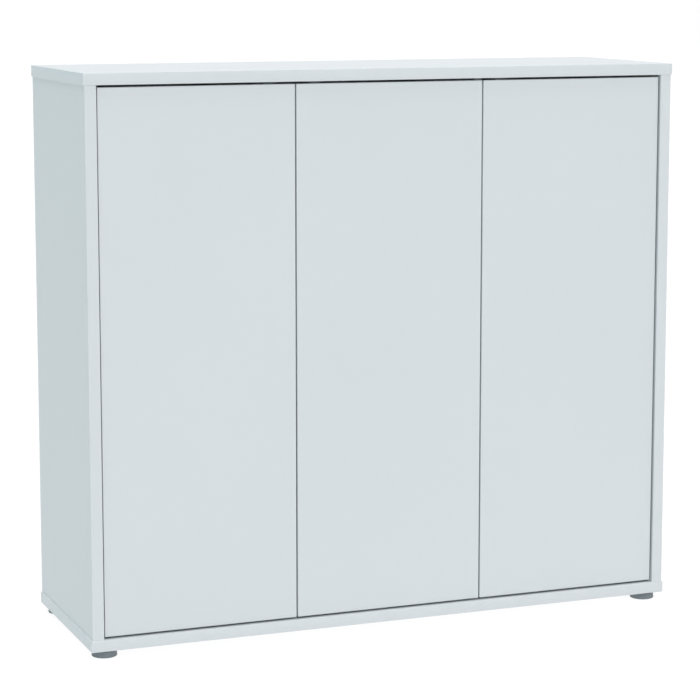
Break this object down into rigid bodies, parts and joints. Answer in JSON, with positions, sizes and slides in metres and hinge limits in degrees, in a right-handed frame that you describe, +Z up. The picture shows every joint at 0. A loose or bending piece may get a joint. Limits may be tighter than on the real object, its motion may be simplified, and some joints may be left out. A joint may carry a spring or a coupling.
{
  "type": "aquarium stand cabinet",
  "caption": "White melamine cabinet with inset handleless doors on cup hinges, inner shelves, a grooved back with hose slots, and round levelling feet.",
  "frame": {"origin": "on the floor, under the middle of the top panel", "axes": "+X to the right across the width, -Y towards the doors, +Z up"},
  "size_m": [1.2, 0.385, 1.088],
  "materials": {
    "melamine_board": "white melamine on chipboard, satin",
    "edge_band": "white ABS edging, satin",
    "hardboard_back": "white painted hardboard",
    "white_plastic": "white moulded plastic",
    "beech": "ribbed beech",
    "zinc_casting": "die-cast zinc, dull",
    "grey_plastic": "mid grey moulded plastic",
    "pale_plastic": "light grey moulded plastic",
    "nickel_steel": "nickel-plated steel"
  },
  "bodies": {
    "carcass": {"arm_screws": "nickel_steel", "back_joint_strip": "white_plastic", "bottom_panel": "melamine_board", "cam_bolts": "nickel_steel", "cam_locks": "zinc_casting", "carcass_edge_bands": "edge_band", "foot_inserts": "white_plastic", "hinge_plates": "nickel_steel", "latch_housings": "pale_plastic", "latch_screws": "nickel_steel", "left_back_panel": "hardboard_back", "left_hinge_arms": "nickel_steel", "left_side_panel": "melamine_board", "lower_narrow_shelf": "melamine_board", "middle_back_panel": "hardboard_back", "middle_hinge_arms": "nickel_steel", "partition_panel": "melamine_board", "plate_screws": "nickel_steel", "right_back_panel": "hardboard_back", "right_hinge_arms": "nickel_steel", "right_side_panel": "melamine_board", "shelf_edge_bands": "edge_band", "shelf_pins": "nickel_steel", "top_panel": "melamine_board", "upper_narrow_shelf": "melamine_board", "wide_shelf": "melamine_board", "wooden_dowels": "beech"},
    "left_door_leaf": {"left_door": "melamine_board", "left_door_edge_bands": "edge_band", "left_hinge_cups": "nickel_steel", "left_hinge_pins": "nickel_steel", "left_cup_screws": "nickel_steel", "left_strike_plate": "nickel_steel"},
    "left_push_plunger": {"left_latch_plunger": "pale_plastic"},
    "middle_door_leaf": {"middle_door": "melamine_board", "middle_door_edge_bands": "edge_band", "middle_hinge_cups": "nickel_steel", "middle_hinge_pins": "nickel_steel", "middle_cup_screws": "nickel_steel", "middle_strike_plate": "nickel_steel"},
    "middle_push_plunger": {"middle_latch_plunger": "pale_plastic"},
    "right_door_leaf": {"right_door": "melamine_board", "right_door_edge_bands": "edge_band", "right_hinge_cups": "nickel_steel", "right_hinge_pins": "nickel_steel", "right_cup_screws": "nickel_steel", "right_strike_plate": "nickel_steel"},
    "right_push_plunger": {"right_latch_plunger": "pale_plastic"},
    "front_left_foot": {"front_left_foot_pad": "grey_plastic", "front_left_foot_spindle": "nickel_steel"},
    "front_right_foot": {"front_right_foot_pad": "grey_plastic", "front_right_foot_spindle": "nickel_steel"},
    "rear_left_foot": {"rear_left_foot_pad": "grey_plastic", "rear_left_foot_spindle": "nickel_steel"},
    "rear_right_foot": {"rear_right_foot_pad": "grey_plastic", "rear_right_foot_spindle": "nickel_steel"},
    "centre_foot": {"centre_foot_pad": "grey_plastic", "centre_foot_spindle": "nickel_steel"}
  },
  "joints": [
    {"name": "left_door_hinge", "type": "hinge", "parent": "carcass", "child": "left_door_leaf", "pos_m": [-0.5635, -0.179, 0.55125], "axis": [0, 0, -1], "range_deg": [0, 95]},
    {"name": "left_latch_slide", "type": "slide", "parent": "carcass", "child": "left_push_plunger", "axis": [0, -1, 0], "range_m": [0, 0.0141]},
    {"name": "middle_door_hinge", "type": "hinge", "parent": "carcass", "child": "middle_door_leaf", "pos_m": [0.18083, -0.179, 0.55125], "axis": [0, 0, 1], "range_deg": [0, 95]},
    {"name": "middle_latch_slide", "type": "slide", "parent": "carcass", "child": "middle_push_plunger", "axis": [0, -1, 0], "range_m": [0, 0.0141]},
    {"name": "right_door_hinge", "type": "hinge", "parent": "carcass", "child": "right_door_leaf", "pos_m": [0.5635, -0.179, 0.55125], "axis": [0, 0, 1], "range_deg": [0, 95]},
    {"name": "right_latch_slide", "type": "slide", "parent": "carcass", "child": "right_push_plunger", "axis": [0, -1, 0], "range_m": [0, 0.0141]},
    {"name": "front_left_foot_height", "type": "slide", "parent": "carcass", "child": "front_left_foot", "axis": [0, 0, -1], "range_m": [0, 0.008]},
    {"name": "front_right_foot_height", "type": "slide", "parent": "carcass", "child": "front_right_foot", "axis": [0, 0, -1], "range_m": [0, 0.008]},
    {"name": "rear_left_foot_height", "type": "slide", "parent": "carcass", "child": "rear_left_foot", "axis": [0, 0, -1], "range_m": [0, 0.008]},
    {"name": "rear_right_foot_height", "type": "slide", "parent": "carcass", "child": "rear_right_foot", "axis": [0, 0, -1], "range_m": [0, 0.008]},
    {"name": "centre_foot_height", "type": "slide", "parent": "carcass", "child": "centre_foot", "axis": [0, 0, -1], "range_m": [0, 0.008]}
  ],
  "couplings": [
    {"joint": "left_latch_slide", "follows": "left_door_hinge", "m_per_rad": 0.0084436},
    {"joint": "middle_latch_slide", "follows": "middle_door_hinge", "m_per_rad": 0.0084436},
    {"joint": "right_latch_slide", "follows": "right_door_hinge", "m_per_rad": 0.0084436}
  ]
}
